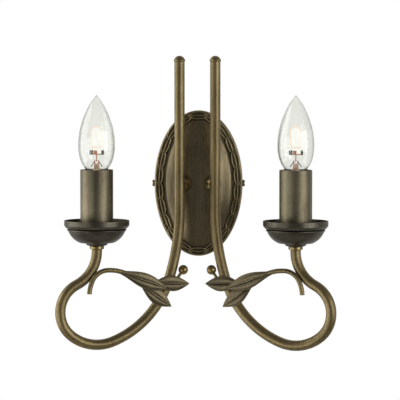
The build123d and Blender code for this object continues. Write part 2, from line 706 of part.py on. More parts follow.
def make_lampholder_contact():
    disc = CONTACT_DIAMETER / 2
    pin = CONTACT_PIN_DIAMETER / 2
    top = socket_floor + CONTACT_RISE
    low = socket_floor + TOUCH_GAP
    return turned([
        (0, chamber_top), (pin, chamber_top), (pin, low), (disc, low), (disc, low + CONTACT_SHEET),
        (pin, low + CONTACT_SHEET), (pin, top), (0, top),
    ])


def make_bulb_tip():
    radius = TIP_DIAMETER / 2
    with BuildPart() as tip:
        with BuildSketch(bulb_plane):
            with BuildLine():
                Polyline((0, TIP_HEIGHT), (0, 0))
                RadiusArc((0, 0), (radius, TIP_HEIGHT / 2), -(radius**2 + TIP_HEIGHT**2 / 4) / TIP_HEIGHT)
                Polyline((radius, TIP_HEIGHT / 2), (radius, TIP_HEIGHT), (0, TIP_HEIGHT))
            make_face()
        revolve(axis=candle_axis)
    return tip.part


def make_bulb_insulator():
    bead = INSULATOR_DIAMETER / 2
    foot = TIP_HEIGHT + TOUCH_GAP
    return turned([
        (0, foot), (TIP_DIAMETER / 2, foot), (bead, BULB_CAP_FOOT), (bead, BULB_CAP_FOOT + 2 * BULB_CAP_WALL),
        (0, BULB_CAP_FOOT + 2 * BULB_CAP_WALL),
    ], bulb_plane)


def make_bulb_cap():
    crest = THREAD_DIAMETER / 2
    root = crest - THREAD_ROOT_DEPTH
    inner = root - BULB_CAP_WALL
    flare = BULB_CAP_FLARE / 2
    foot = INSULATOR_DIAMETER / 2 + TOUCH_GAP
    first = BULB_CAP_FOOT + BULB_CAP_WALL
    outline = [(foot, BULB_CAP_FOOT)]
    for ridge in range(THREAD_RIDGES):
        low = first + ridge * THREAD_PITCH
        outline += [(root, low), (crest, low + THREAD_FLANK), (crest, low + THREAD_PITCH - THREAD_FLANK)]
    last = first + THREAD_RIDGES * THREAD_PITCH
    lip = BULB_CAP_TOP - flare + root
    outline += [(root, last), (root, lip), (flare, BULB_CAP_TOP - BULB_CAP_WALL), (flare, BULB_CAP_TOP),
                (flare - BULB_CAP_WALL, BULB_CAP_TOP), (flare - BULB_CAP_WALL, BULB_CAP_TOP - BULB_CAP_WALL),
                (inner, lip), (inner, first), (foot, first)]
    return turned(outline, bulb_plane)


def glass_outline(inset, foot):
    """Half of the bulb's section: the outer skin for no inset, the inner skin for the glass's thickness."""
    neck = neck_radius - inset
    belly = bulb_radius - inset
    Polyline((0, BULB_LENGTH - inset), (0, foot), (neck, foot), (neck, BULB_CAP_TOP))
    Spline((neck, BULB_CAP_TOP), (belly - BULB_NECK[0], BULB_NECK[1]), (belly, BULB_BELLY),
           tangents=[(1, 3), (0, 1)])
    Spline((belly, BULB_BELLY), (belly - BULB_SHOULDER[0], BULB_SHOULDER[1]),
           (belly - BULB_FLAME[0], BULB_FLAME[1]), (0, BULB_LENGTH - inset), tangents=[(0, 1), (-1, 1)])


def make_bulb_glass():
    foot = BULB_CAP_TOP - BULB_CAP_WALL
    with BuildPart() as glass:
        with BuildSketch(bulb_plane):
            with BuildLine():
                glass_outline(0, foot)
            make_face()
        revolve(axis=candle_axis)
        with BuildSketch(bulb_plane):
            with BuildLine():
                glass_outline(BULB_GLASS_WALL, foot - BULB_GLASS_WALL)
            make_face()
        revolve(axis=candle_axis, mode=Mode.SUBTRACT)
    return glass.part


def make_bulb_capsule():
    outer = CAPSULE_DIAMETER / 2
    inner = outer - CAPSULE_WALL
    top = CAPSULE_FOOT + CAPSULE_HEIGHT
    with BuildPart() as capsule:
        for radius, low in ((outer, CAPSULE_FOOT), (inner, CAPSULE_FOOT + CAPSULE_WALL)):
            with BuildSketch(bulb_plane):
                with BuildLine():
                    Polyline((0, top - outer + radius), (0, low), (radius, low), (radius, top - outer))
                    RadiusArc((radius, top - outer), (0, top - outer + radius), -radius)
                make_face()
            revolve(axis=candle_axis, mode=Mode.ADD if radius == outer else Mode.SUBTRACT)
        with BuildSketch(Plane(origin=seat).offset(bulb_foot + CAPSULE_FOOT)):
            Rectangle(PINCH_WIDTH, PINCH_SHEET)
        extrude(amount=-PINCH_HEIGHT)
    return capsule.part


def make_bulb_filament():
    foot = CAPSULE_FOOT + CAPSULE_WALL + TOUCH_GAP
    low = foot + (CAPSULE_HEIGHT - FILAMENT_LENGTH) / 4
    coil = FILAMENT_DIAMETER / 2
    lead = FILAMENT_LEAD_DIAMETER / 2
    return turned([(0, foot), (lead, foot), (lead, low), (coil, low), (coil, low + FILAMENT_LENGTH),
                   (0, low + FILAMENT_LENGTH)], bulb_plane)


def make_bulb_mount():
    """The flared stem, its leads and the clip that holds the capsule."""
    pinch_foot = CAPSULE_FOOT - PINCH_HEIGHT
    clip_foot = pinch_foot - CLIP_SHEET - TOUCH_GAP
    fork = STEM_TOP + LEAD_RISE
    flare = neck_radius - BULB_GLASS_WALL - TOUCH_GAP
    stem_foot = BULB_CAP_TOP - BULB_CAP_WALL
    stem = STEM_DIAMETER / 2
    foot = Plane(origin=seat).offset(bulb_foot)
    with BuildPart() as mount:
        with BuildSketch(bulb_plane):
            with BuildLine():
                Polyline((0, stem_foot), (flare, stem_foot), (flare, stem_foot + BULB_CAP_WALL),
                         (stem, stem_foot + flare - stem), (stem, STEM_TOP), (0, STEM_TOP), close=True)
            make_face()
        revolve(axis=candle_axis)
        with BuildSketch(foot.offset(clip_foot)):
            Rectangle(CLIP_WIDTH, PINCH_SHEET + 2 * (CLIP_SHEET + TOUCH_GAP))
        extrude(amount=CLIP_HEIGHT)
        with BuildSketch(foot.offset(pinch_foot - TOUCH_GAP)):
            Rectangle(PINCH_WIDTH + 2 * TOUCH_GAP, PINCH_SHEET + 2 * TOUCH_GAP)
        extrude(amount=CLIP_HEIGHT, mode=Mode.SUBTRACT)
        with BuildSketch(foot.offset(fork)):
            Circle(LEAD_DIAMETER / 2)
        extrude(amount=clip_foot - fork + CLIP_SHEET / 2)
        for side in (LEFT, RIGHT):
            top = seat + Vector(0, 0, bulb_foot + fork + LEAD_DIAMETER / 2)
            low = seat + Vector(side * LEAD_SPREAD / 2, 0, bulb_foot + STEM_TOP - LEAD_DIAMETER)
            with BuildSketch(Plane(origin=top, z_dir=low - top)):
                Circle(LEAD_DIAMETER / 2)
            extrude(amount=(low - top).length)
    return mount.part


os.makedirs("parts", exist_ok=True)
save("backplate", make_backplate())
save("wall_bracket", make_wall_bracket())
save_both("side_screws", make_side_screw())
save("terminal_block", make_terminal_block())
save("terminal_screws", make_terminal_screws())
save("earth_screw", make_earth_screw())
save_both("arm_nuts", make_arm_nut())
save_both("pan_nuts", make_pan_nut())
save_pair("arm_tube", make_arm_tube())
save_pair("arm_cap", make_arm_cap())
save_pair("arm_boss", make_arm_boss())
save_pair("arm_stud", make_arm_stud())
save_pair("arm_flex", make_arm_flex())
save_pair("front_leaf", make_front_leaf())
save_pair("inner_leaf", leaf_blade(**INNER_LEAF))
save_pair("lower_leaf", leaf_blade(**LOWER_LEAF))
save_pair("berry", make_berry())
save_pair("drip_pan", make_drip_pan())
save_pair("pan_collar", make_pan_collar())
save_pair("nipple", make_nipple())
save_pair("candle_sleeve", make_candle_sleeve())
save_pair("lampholder_body", make_lampholder_body())
save_pair("lampholder_shell", make_lampholder_shell())
save_pair("lampholder_contact", make_lampholder_contact())
save_pair("bulb_tip", make_bulb_tip())
save_pair("bulb_insulator", make_bulb_insulator())
save_pair("bulb_cap", make_bulb_cap())
save_pair("bulb_glass", make_bulb_glass())
save_pair("bulb_capsule", make_bulb_capsule())
save_pair("bulb_filament", make_bulb_filament())
save_pair("bulb_mount", make_bulb_mount())
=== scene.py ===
# %% [markdown]
# # A candle wall light in antique bronze
# The CAD model is loaded as a fixed frame. Every piece is already in its place, in metres:
# the wall is at y = 0, the front faces -Y and +Z is up. This lesson sets up a small studio,
# gives each piece its finish, and models by hand the pressed plate, the beaten leaves and the
# inside of the bulbs, whose fine shapes the solids only hint at.

# %% Load the frame
import json
from math import cos, pi, radians, sin, sqrt, tan

import bmesh
import bpy
from mathutils import Matrix, Vector


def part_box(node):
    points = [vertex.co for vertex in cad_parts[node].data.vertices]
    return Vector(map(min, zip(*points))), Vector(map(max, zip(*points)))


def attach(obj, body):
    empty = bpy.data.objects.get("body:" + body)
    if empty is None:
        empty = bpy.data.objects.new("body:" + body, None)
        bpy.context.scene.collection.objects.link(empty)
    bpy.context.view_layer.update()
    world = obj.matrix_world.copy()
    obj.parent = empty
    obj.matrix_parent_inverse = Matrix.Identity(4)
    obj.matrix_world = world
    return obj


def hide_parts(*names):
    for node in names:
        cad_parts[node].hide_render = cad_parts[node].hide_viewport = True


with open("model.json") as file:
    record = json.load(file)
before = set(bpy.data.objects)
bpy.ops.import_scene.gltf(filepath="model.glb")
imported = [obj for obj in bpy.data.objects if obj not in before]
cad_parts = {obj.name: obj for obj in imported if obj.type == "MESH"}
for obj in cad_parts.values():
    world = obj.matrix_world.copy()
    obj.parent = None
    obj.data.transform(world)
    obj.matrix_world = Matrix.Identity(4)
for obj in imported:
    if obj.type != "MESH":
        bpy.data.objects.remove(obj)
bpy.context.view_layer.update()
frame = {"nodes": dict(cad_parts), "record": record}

MM = 0.001
nodes = frame["nodes"]


def in_mm(place):
    """A place in tenths of a millimetre, for printing."""
    return [round(v / MM, 1) for v in place]


# %% [markdown]
# ## The camera
# The light is seen almost straight on, from a little above and a little to the right, through a
# long lens that keeps the two arms the same size. The camera stands on a ball around a point in
# front of the backplate, and looks at that point.

# %% Place the camera
LOOK_AT = Vector((2.898, -45.749, -14.301)) * MM
CAMERA_TURN = radians(2.3)
CAMERA_RISE = radians(3.4)
CAMERA_DISTANCE = 2.2
LENS = 205.8

away = Vector((sin(CAMERA_TURN) * cos(CAMERA_RISE), -cos(CAMERA_TURN) * cos(CAMERA_RISE), sin(CAMERA_RISE)))
bpy.ops.object.camera_add(location=LOOK_AT + CAMERA_DISTANCE * away)
camera = bpy.context.object
camera.rotation_euler = (-away).to_track_quat("-Z", "Y").to_euler()
camera.data.lens = LENS
bpy.context.scene.camera = camera
print("camera at", [round(v, 3) for v in camera.location])

# %% [markdown]
# ## Colours and nodes
# A colour is written as it looks on a screen, in hex, and one function turns it into the linear
# numbers that shaders count with. A second small function adds a shader node, sets what it is
# given and links its inputs, so that each material below reads as a short list.


# %% Two small helpers
def linear(code):
    """The linear colour of a hex code such as #6b6049."""
    shares = [int(code[place:place + 2], 16) / 255 for place in (1, 3, 5)]
    return [c / 12.92 if c <= 0.04045 else ((c + 0.055) / 1.055) ** 2.4 for c in shares] + [1.0]


def add(tree, kind, settings=None, links=None):
    """Add one shader node; capital names and numbers are its inputs, the other names its options."""
    node = tree.nodes.new("ShaderNode" + kind)
    for name, value in (settings or {}).items():
        if isinstance(name, int) or name[0].isupper():
            node.inputs[name].default_value = value
        else:
            setattr(node, name, value)
    for name, source in (links or {}).items():
        tree.links.new(source, node.inputs[name])
    return node


print("middle grey on a screen is", round(linear("#808080")[0], 3), "in linear numbers")

# %% [markdown]
# ## The studio
# Metal has hardly any colour of its own: it shows the room. A photographer lights a dark bronze
# from two tall soft boxes at the sides, with a white paper behind and a dim room in front. The
# round tubes then get bright edges and a dark middle, which is how the eye reads them as round.
# The right box stands further forward than the left one, so it also wakes the plate's right half.
# Here the sky is that room: white paper over the half behind the light, dim over the front half.
# The camera itself always sees white, also through the bulbs. A small pale floor lies well below, as
# under any wall light.

# %% The room
PAPER = 1.0            # as the camera sees it
SHEEN = 0.5            # as the metal sees it
ROOM = 0.15
PAPER_EDGE = -0.25, 0.45   # how far back the paper starts, and where it is full

world = bpy.context.scene.world or bpy.data.worlds.new("studio")
bpy.context.scene.world = world
world.use_nodes = True
sky = world.node_tree
sky.nodes.clear()
direction = add(sky, "TexCoord")
towards = add(sky, "SeparateXYZ", {}, {"Vector": direction.outputs["Generated"]})
paper_share = add(sky, "MapRange", {"From Min": PAPER_EDGE[0], "From Max": PAPER_EDGE[1],
                                    "To Min": ROOM, "To Max": SHEEN, "interpolation_type": "SMOOTHSTEP"},
                  {"Value": towards.outputs["Y"]})
ray = add(sky, "LightPath")
clear_view = add(sky, "Math", {"operation": "MAXIMUM"},
                 {0: ray.outputs["Is Camera Ray"], 1: ray.outputs["Is Transmission Ray"]})
seen = add(sky, "Mix", {"data_type": "FLOAT", 3: PAPER},
           {0: clear_view.outputs[0], 2: paper_share.outputs["Result"]})
background = add(sky, "Background", {"Color": linear("#ffffff")}, {"Strength": seen.outputs[0]})
add(sky, "OutputWorld", {}, {"Surface": background.outputs["Background"]})
bpy.context.scene.view_settings.view_transform = "Standard"
print("paper", PAPER, "its sheen", SHEEN, "room", ROOM)

# %% The soft boxes
BOX_DISTANCE = 2.7
BOX_LIFT = 0.08        # of that distance
BOX_WIDTH = 2.4


def soft_light(name, stand, width, height, power):
    """A soft light on its stand, turned towards the wall light."""
    bpy.ops.object.light_add(type="AREA", location=LOOK_AT + stand)
    lamp = bpy.context.object
    lamp.name = name
    lamp.rotation_euler = (-stand).to_track_quat("-Z", "Y").to_euler()
    lamp.data.shape = "RECTANGLE"
    lamp.data.size, lamp.data.size_y = width, height
    lamp.data.energy = power
    print(name, "at", [round(v, 2) for v in lamp.location])


for name, turn, height, power in (("left_soft_box", radians(-87), 4.0, 52),
                                  ("right_soft_box", radians(54), 1.5, 26)):
    soft_light(name, Vector((sin(turn), -cos(turn), BOX_LIFT)) * BOX_DISTANCE, BOX_WIDTH, height, power)

# %% A small low light in front, for the loops
LOW_TURN = radians(-40)
LOW_DISTANCE = 2.4
LOW_DROP = 0.35        # of that distance
LOW_WIDTH = 1.1
LOW_POWER = 9

low_stand = Vector((sin(LOW_TURN), -cos(LOW_TURN), -LOW_DROP)) * LOW_DISTANCE
soft_light("low_light", low_stand, LOW_WIDTH, LOW_WIDTH, LOW_POWER)

# %% The floor
FLOOR_DROP = 0.9
FLOOR_WIDTH = 1.3
FLOOR_GLOW = 0.6       # for the camera and through the bulbs: it looks pale, and sheds no light


def blank(name):
    """A new material, with its node tree and its shader."""
    material = bpy.data.materials.new(name)
    material.use_nodes = True
    return material, material.node_tree, material.node_tree.nodes["Principled BSDF"]


bpy.ops.mesh.primitive_plane_add(size=FLOOR_WIDTH, location=(0, 0, -FLOOR_DROP))
floor = bpy.context.object
floor.name = "floor"
# flat wall paint: pale and dull, so that shadows lie on it softly
pale_floor, floor_tree, floor_paint = blank("pale_floor_paint")
floor_paint.inputs["Base Color"].default_value = linear("#d9d7d2")
floor_paint.inputs["Roughness"].default_value = 0.8
floor_paint.inputs["Emission Color"].default_value = linear("#f6f5f2")
floor_ray = add(floor_tree, "LightPath")
floor_view = add(floor_tree, "Math", {"operation": "MAXIMUM"},
                 {0: floor_ray.outputs["Is Camera Ray"], 1: floor_ray.outputs["Is Transmission Ray"]})
floor_glow = add(floor_tree, "Math", {"operation": "MULTIPLY", 1: FLOOR_GLOW}, {0: floor_view.outputs[0]})
floor_tree.links.new(floor_glow.outputs[0], floor_paint.inputs["Emission Strength"])
floor.data.materials.append(pale_floor)
print("floor", FLOOR_DROP, "m below the backplate's middle")

# %% [markdown]
# ## Antique bronze
# The real finish is a bronze lacquer over steel and cast metal: dark brown first, then a bronze
# powder that is wiped off while wet. It keeps a fine speckle, cloudy patches, faint wiping marks
# down the length and gold where it rubbed. Its hollows, and the places where other parts come close,
# are darkened by ambient occlusion: painted shade, which also stands for lacquer the cloth didn't reach.
# The speckle is finer on the real light than one pixel here, so it is drawn about 1 mm wide to show.

# %% Bronze lacquer
SPECKLE = 1.0 * MM
CLOUD = 24 * MM
WIPE_WIDTH = 1.6 * MM
WIPE_LENGTH = 45 * MM
# how far the painted shade in hollows and between parts reaches
SHADE_REACH = 1.6 * MM
TONE = 0.85, 2.15      # the sum of the three patterns where the lacquer is all dark, and all gold
RIDGE = 0.505, 0.56    # the pointiness where the cloth starts to rub, and where it rubs through
POLISH = 0.05          # how much rougher or smoother the specks are
PIT = 0.1 * MM


def bronze_lacquer(name, dark, gold, roughness, rubbed=None, shade_reach=SHADE_REACH, map_name="Object",
                   marks=(1 / WIPE_WIDTH, 1 / WIPE_WIDTH, 1 / WIPE_LENGTH)):
    """A wiped lacquer: two tones, speckled, clouded, rubbed on its ridges, and darkened by painted shade in
    its hollows and near other parts.
    """
    material, tree, shader = blank(name)
    place = add(tree, "TexCoord")
    speckle = add(tree, "TexNoise", {"Scale": 1 / SPECKLE, "Detail": 2.0, "Roughness": 0.6},
                  {"Vector": place.outputs["Object"]})
    cloud = add(tree, "TexNoise", {"Scale": 1 / CLOUD, "Detail": 3.0}, {"Vector": place.outputs["Object"]})
    along = add(tree, "Mapping", {"Scale": marks}, {"Vector": place.outputs[map_name]})
    wipe = add(tree, "TexNoise", {"Scale": 1.0, "Detail": 2.0}, {"Vector": along.outputs["Vector"]})
    grain = add(tree, "Math", {"operation": "ADD"}, {0: speckle.outputs["Fac"], 1: wipe.outputs["Fac"]})
    both = add(tree, "Math", {"operation": "ADD"}, {0: grain.outputs[0], 1: cloud.outputs["Fac"]})
    tone = add(tree, "MapRange", {"From Min": TONE[0], "From Max": TONE[1]}, {"Value": both.outputs[0]})
    colour = add(tree, "Mix", {"data_type": "RGBA", 6: linear(dark), 7: linear(gold)},
                 {0: tone.outputs["Result"]})
    if rubbed:
        ridge = add(tree, "NewGeometry")
        worn = add(tree, "MapRange", {"From Min": RIDGE[0], "From Max": RIDGE[1]},
                   {"Value": ridge.outputs["Pointiness"]})
        colour = add(tree, "Mix", {"data_type": "RGBA", 7: linear(rubbed)},
                     {0: worn.outputs["Result"], 6: colour.outputs[2]})
    # ambient occlusion darkens the colour: painted shade in hollows and where parts come close
    painted_shade = add(tree, "AmbientOcclusion", {"samples": 6, "only_local": False, "Distance": shade_reach},
                 {"Color": colour.outputs[2]})
    tree.links.new(painted_shade.outputs["Color"], shader.inputs["Base Color"])
    polish = add(tree, "MapRange", {"From Min": 0.3, "From Max": 0.7, "To Min": roughness + POLISH,
                                    "To Max": roughness - POLISH}, {"Value": speckle.outputs["Fac"]})
    tree.links.new(polish.outputs["Result"], shader.inputs["Roughness"])
    shader.inputs["Metallic"].default_value = 1.0
    shader.inputs["Coat Weight"].default_value = 0.3
    shader.inputs["Coat Roughness"].default_value = 0.35
    pits = add(tree, "Bump", {"Strength": 0.1, "Distance": PIT}, {"Height": speckle.outputs["Fac"]})
    tree.links.new(pits.outputs["Normal"], shader.inputs["Normal"])
    return material


print("specks of", SPECKLE / MM, "mm, clouds of", CLOUD / MM, "mm, wiping marks of", WIPE_LENGTH / MM, "mm")

# %% One lacquer, wiped more or less
bronze = bronze_lacquer("antique_bronze_lacquer", "#5a513f", "#a49573", 0.38)
# the arms' copy is warmer and lighter, its lightness painted light in place of more light from the front; the
# sleeves keep an olive cast and a softer gloss
lit_arm_bronze = bronze_lacquer("golden_bronze_lacquer", "#65573a", "#aa9769", 0.45)
sleeve_bronze = bronze_lacquer("olive_bronze_lacquer", "#53493a", "#989073", 0.44)
# the pans' copy is darker: painted shade on the pans
shaded_pan_bronze = bronze_lacquer("dark_bronze_lacquer", "#413d35", "#706a5a", 0.36)
# small turned pieces are rubbed bright in the hand
gold_bronze = bronze_lacquer("rubbed_bronze_lacquer", "#6e5c39", "#bba26c", 0.34)
# on the pressed plate only the ridges are rubbed, so the chain stands out
pressed_bronze = bronze_lacquer("pressed_bronze_lacquer", "#5a513f", "#a49573", 0.38, "#cdb98a")
lacquers = (bronze, lit_arm_bronze, sleeve_bronze, shaded_pan_bronze, gold_bronze, pressed_bronze)
print("made", ", ".join(lacquer.name for lacquer in lacquers))

# %% [markdown]
# ## The leaves' finish
# A beaten leaf carries the same lacquer, but its marks run from the stalk to the tip. A band of
# painted shade lies just under the midrib, a thin painted highlight runs along its upper side, and
# the cloth rubs the edges gold. A leaf's UV map knows the length and the width of the leaf, so the
# veins, the rubbed edges and the painted light are drawn on that.

# %% Leaf bronze, with fine veins
VEINS = 22             # across a leaf, about 0.7 mm each at its widest
VEIN_RUN = 2.5         # how often a vein fades and comes back along a leaf
VEIN_DEPTH = 0.4 * MM
# how far the painted shade reaches on a leaf: wide, so a leaf under its neighbour gets a painted shadow
LEAF_SHADOW_REACH = 5 * MM

leaf_marks = (VEIN_RUN, VEINS, 1)
leaf_bronze = bronze_lacquer("leaf_bronze_lacquer", "#484030", "#83775a", 0.40, None, LEAF_SHADOW_REACH,
                             "UV", leaf_marks)
leaf_tree = leaf_bronze.node_tree
leaf_shader = leaf_tree.nodes["Principled BSDF"]
leaf_map = add(leaf_tree, "TexCoord")
leaf_run = add(leaf_tree, "Mapping", {"Scale": leaf_marks}, {"Vector": leaf_map.outputs["UV"]})
veins = add(leaf_tree, "TexNoise", {"Scale": 1.0, "Detail": 1.0}, {"Vector": leaf_run.outputs["Vector"]})
pitted = leaf_shader.inputs["Normal"].links[0].from_socket
veined = add(leaf_tree, "Bump", {"Strength": 0.25, "Distance": VEIN_DEPTH},
             {"Height": veins.outputs["Fac"], "Normal": pitted})
leaf_tree.links.new(veined.outputs["Normal"], leaf_shader.inputs["Normal"])
print(leaf_bronze.name, "with", VEINS, "veins")

# %% Painted shade under the leaf's midrib, a painted highlight on it, and gold rubbed on its edges
# places across the leaf, each with its tone: 0 is painted shade, 1 is gold, rubbed on the edges and a painted
# highlight on the midrib
LEAF_WEAR_AND_SHADE = [(0.0, 0.9), (0.03, 0.7), (0.08, 0.5), (0.40, 0.48), (0.445, 0.0), (0.495, 0.0), (0.51, 0.75),
             (0.53, 0.75), (0.555, 0.45), (0.60, 0.52), (0.92, 0.52), (0.97, 0.68), (1.0, 0.9)]

leaf_place = add(leaf_tree, "SeparateXYZ", {}, {"Vector": leaf_map.outputs["UV"]})
wear_and_shade = add(leaf_tree, "ValToRGB", {}, {"Fac": leaf_place.outputs["Y"]})
for _ in LEAF_WEAR_AND_SHADE[2:]:
    wear_and_shade.color_ramp.elements.new(0.5)
for element, (place, grey) in zip(wear_and_shade.color_ramp.elements, LEAF_WEAR_AND_SHADE):
    element.position = place
    element.color = (grey, grey, grey, 1)
crease_shade = add(leaf_tree, "MapRange", {"From Min": 0.5, "From Max": 0.0}, {"Value": wear_and_shade.outputs["Color"]})
rub_and_highlight = add(leaf_tree, "MapRange", {"From Min": 0.5, "From Max": 1.0}, {"Value": wear_and_shade.outputs["Color"]})
painted_shade = leaf_shader.inputs["Base Color"].links[0].from_node
lacquer = painted_shade.inputs["Color"].links[0].from_socket
# painted shade: a near black band just under the midrib
crease_shaded = add(leaf_tree, "Mix", {"data_type": "RGBA", 7: linear("#1d170e")},
              {0: crease_shade.outputs["Result"], 6: lacquer})
# gold on the edges is rubbed wear; the thin gold line on the midrib's upper side is a painted highlight
rubbed_and_highlit = add(leaf_tree, "Mix", {"data_type": "RGBA", 7: linear("#cfbd8e")},
            {0: rub_and_highlight.outputs["Result"], 6: crease_shaded.outputs[2]})
leaf_tree.links.new(rubbed_and_highlit.outputs[2], painted_shade.inputs["Color"])
print(len(LEAF_WEAR_AND_SHADE), "stops of wear across a leaf")

# %% [markdown]
# ## The other finishes
# Brass rings and screws have darkened with age. The bulb's cap is bright nickel plate, its bead of
# black glass is glazed, and the parts inside are moulded plastic and zinc plated steel. None of
# them is one flat colour: each has the marks of how it was made.

# %% Aged brass
# turned, then left to darken: a duller yellow with brown clouds
aged_brass = bronze_lacquer("aged_brass", "#75663f", "#b5a06a", 0.32)
print("made", aged_brass.name)

# %% Zinc plated steel
# rolled strip, plated: pale and cool, with soft streaks along the strip
ROLLING = 0.8 * MM
ROLLING_RUN = 30 * MM

zinc, zinc_tree, zinc_shader = blank("zinc_plated_steel")
zinc_place = add(zinc_tree, "TexCoord")
zinc_along = add(zinc_tree, "Mapping", {"Scale": (1 / ROLLING_RUN, 1 / ROLLING, 1 / ROLLING)},
                 {"Vector": zinc_place.outputs["Object"]})
zinc_marks = add(zinc_tree, "TexNoise", {"Scale": 1.0, "Detail": 3.0},
                 {"Vector": zinc_along.outputs["Vector"]})
zinc_tone = add(zinc_tree, "Mix", {"data_type": "RGBA", 6: linear("#9a9b9c"), 7: linear("#cfd0d0")},
                {0: zinc_marks.outputs["Fac"]})
zinc_tree.links.new(zinc_tone.outputs[2], zinc_shader.inputs["Base Color"])
zinc_shader.inputs["Metallic"].default_value = 1.0
zinc_shader.inputs["Roughness"].default_value = 0.34
print("made", zinc.name)

# %% Moulded plastics, and what is drawn or pressed hot
FLOW = 9 * MM
SPARK = 0.8 * MM
SPARK_DEPTH = 0.08 * MM


def moulded(name, low, high, roughness, metallic=0.0):
    """A moulded or drawn material with a faint flow of tone and a fine spark texture."""
    material, tree, shader = blank(name)
    place = add(tree, "TexCoord")
    flow = add(tree, "TexNoise", {"Scale": 1 / FLOW, "Detail": 4.0}, {"Vector": place.outputs["Object"]})
    tone = add(tree, "Mix", {"data_type": "RGBA", 6: linear(low), 7: linear(high)}, {0: flow.outputs["Fac"]})
    tree.links.new(tone.outputs[2], shader.inputs["Base Color"])
    spark = add(tree, "TexNoise", {"Scale": 1 / SPARK}, {"Vector": place.outputs["Object"]})
    grain = add(tree, "Bump", {"Strength": 0.2, "Distance": SPARK_DEPTH}, {"Height": spark.outputs["Fac"]})
    tree.links.new(grain.outputs["Normal"], shader.inputs["Normal"])
    shader.inputs["Roughness"].default_value = roughness
    shader.inputs["Metallic"].default_value = metallic
    return material


phenolic = moulded("phenolic_moulding", "#161414", "#262220", 0.45)   # near black, with a dull gloss
nylon = moulded("natural_nylon", "#d2cfc4", "#e8e6dd", 0.5)           # milky and waxy
sheath = moulded("pvc_sheath", "#cfcfca", "#e2e2de", 0.4)             # pale, with an even soft gloss
bead = moulded("black_glass_bead", "#0b0b0c", "#191a1c", 0.15)        # black, with a wet gloss
print("made", ", ".join(material.name for material in (phenolic, nylon, sheath, bead)))

# %% [markdown]
# ## Glass and light
# The bulb is blown from clear glass. Its thin wall hardly shows where the eye looks straight through
# it. Where the eye looks along it the tint follows Layer Weight from the middle to the edge and turns
# dark: painted shade, for the dark room that the glass's edge would show. Inside it, what glows is
# given its own light, just strong enough to look white.

# %% Clear glass
# the tint from the middle to the edge; its dark stops at the edge are painted shade
GLASS_TINT_AND_EDGE_SHADE = [(0.0, "#f3f4f0"), (0.5, "#f1f2ee"), (0.68, "#d0d3cb"), (0.85, "#73766e"), (1.0, "#3c3f39")]

clear_glass, glass_tree, glass_shader = blank("clear_blown_glass")
glass_edge = add(glass_tree, "LayerWeight", {"Blend": 0.5})
glass_tint_and_edge_shade = add(glass_tree, "ValToRGB", {}, {"Fac": glass_edge.outputs["Facing"]})
for _ in GLASS_TINT_AND_EDGE_SHADE[2:]:
    glass_tint_and_edge_shade.color_ramp.elements.new(0.5)
for element, (place, code) in zip(glass_tint_and_edge_shade.color_ramp.elements, GLASS_TINT_AND_EDGE_SHADE):
    element.position = place
    element.color = linear(code)
glass_tree.links.new(glass_tint_and_edge_shade.outputs["Color"], glass_shader.inputs["Base Color"])
glass_shader.inputs["Roughness"].default_value = 0.0
glass_shader.inputs["IOR"].default_value = 1.5
glass_shader.inputs["Transmission Weight"].default_value = 1.0
print("made", clear_glass.name)

# %% Nickel cap and glowing filament
# bright plating: a pale mirror, a little clouded by handling
nickel = bronze_lacquer("nickel_plate", "#8e8c86", "#d6d4cd", 0.24)

# hot wire: too bright to show any surface
glow, _, glow_shader = blank("glowing_tungsten")
glow_shader.inputs["Base Color"].default_value = linear("#ffe9c8")
glow_shader.inputs["Emission Color"].default_value = linear("#ffe2b0")
glow_shader.inputs["Emission Strength"].default_value = 12.0
print("made", nickel.name, "and", glow.name)

# %% Lit quartz
# full of light: white in the middle, peach along its wall
lit_quartz, quartz_tree, quartz_shader = blank("lit_quartz_capsule")
quartz_edge = add(quartz_tree, "LayerWeight", {"Blend": 0.3})
quartz_rim = add(quartz_tree, "MapRange", {"From Min": 0.15, "From Max": 0.6},
                 {"Value": quartz_edge.outputs["Facing"]})
quartz_light = add(quartz_tree, "Mix", {"data_type": "RGBA", 6: linear("#fffefa"), 7: linear("#eec7a0")},
                   {0: quartz_rim.outputs["Result"]})
quartz_tree.links.new(quartz_light.outputs[2], quartz_shader.inputs["Emission Color"])
quartz_shader.inputs["Emission Strength"].default_value = 1.05
quartz_shader.inputs["Base Color"].default_value = linear("#1a1816")
quartz_shader.inputs["Roughness"].default_value = 0.1
print("made", lit_quartz.name)

# %% The mount's metals and glass
blackened_steel = moulded("blackened_steel", "#2c2723", "#5a5148", 0.45, 0.5)   # a soft brown black
copper = moulded("copper_strap", "#b0643a", "#d0905f", 0.4, 0.3)                # warm, dulled by heat
mount_wire = moulded("drawn_nickel_wire", "#4a443e", "#6e675e", 0.4, 0.6)       # dark, with a thin gleam
# the stem's rose is painted light: a painted glow, as if lit by the capsule
glow_painted_stem_glass = moulded("painted_rose_glow_glass", "#c99a80", "#ecd0bb", 0.2)              # lit rose by the capsule
print("made", ", ".join(material.name for material in (blackened_steel, copper, mount_wire, glow_painted_stem_glass)))

# %% Give the CAD nodes their finishes
FINISHES = {"bronze": bronze, "brass": aged_brass, "steel": zinc, "lampholder": phenolic,
            "terminal_plastic": nylon, "flex": sheath, "clear_glass": clear_glass, "black_glass": bead,
            "bulb_metal": nickel, "bulb_mount": mount_wire, "filament": glow}
ARM_FINISHES = {"arm_tube": lit_arm_bronze, "arm_cap": lit_arm_bronze, "candle_sleeve": sleeve_bronze,
                "drip_pan": shaded_pan_bronze, "arm_boss": gold_bronze, "berry": gold_bronze}

for piece in frame["record"]["subparts"]:
    shown = nodes[piece["node"]]
    shown.data.materials.clear()
    shown.data.materials.append(FINISHES[piece["material_slot"]])
for side in ("left", "right"):
    for node, finish in ARM_FINISHES.items():
        nodes[side + "_" + node].data.materials[0] = finish
print(len(nodes), "CAD nodes finished")

